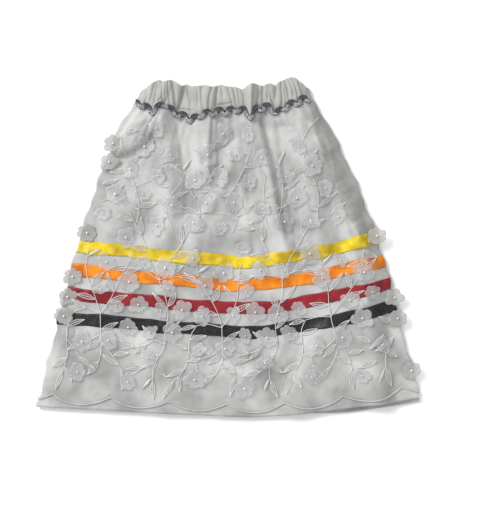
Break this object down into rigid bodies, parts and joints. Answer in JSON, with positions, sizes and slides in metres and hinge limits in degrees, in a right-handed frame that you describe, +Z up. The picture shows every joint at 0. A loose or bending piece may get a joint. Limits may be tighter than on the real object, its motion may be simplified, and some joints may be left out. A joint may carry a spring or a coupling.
{
  "type": "child's ribbon skirt laid flat",
  "caption": "White lace-over-satin child's skirt with a gathered elastic waist, wavy silver braid, coloured satin ribbons and raised petal flowers, laid flat.",
  "frame": {"origin": "middle of the laid skirt's outline on the surface that it rests on", "axes": "+Z up, out of the front; +Y from the hem to the waist; +X across, to the right as the front is seen"},
  "size_m": [0.5003, 0.4427, 0.0239],
  "materials": {
    "satin": "white satin, soft sheen",
    "lace": "white tulle with embroidery",
    "organza": "white organza petals",
    "cotton": "matt white plain weave",
    "silver_braid": "silver-grey metallic thread",
    "yellow_ribbon": "yellow satin ribbon",
    "orange_ribbon": "orange satin ribbon",
    "red_ribbon": "red satin ribbon",
    "black_ribbon": "black satin ribbon"
  },
  "bodies": {
    "root": {"braid_back": "silver_braid", "braid_front": "silver_braid", "flower_left_black": "organza", "flower_left_orange": "organza", "flower_left_red": "organza", "flower_left_top": "organza", "flower_left_upper": "organza", "flower_left_yellow": "organza", "flower_right_black": "organza", "flower_right_low": "organza", "flower_right_red": "organza", "flower_right_yellow": "organza", "overlay_back": "lace", "overlay_front": "lace", "ribbon_black_back": "black_ribbon", "ribbon_black_front": "black_ribbon", "ribbon_orange_back": "orange_ribbon", "ribbon_orange_front": "orange_ribbon", "ribbon_red_back": "red_ribbon", "ribbon_red_front": "red_ribbon", "ribbon_yellow_back": "yellow_ribbon", "ribbon_yellow_front": "yellow_ribbon", "underskirt_back": "satin", "underskirt_front": "satin", "waistband_back": "cotton", "waistband_front": "cotton"}
  },
  "joints": []
}
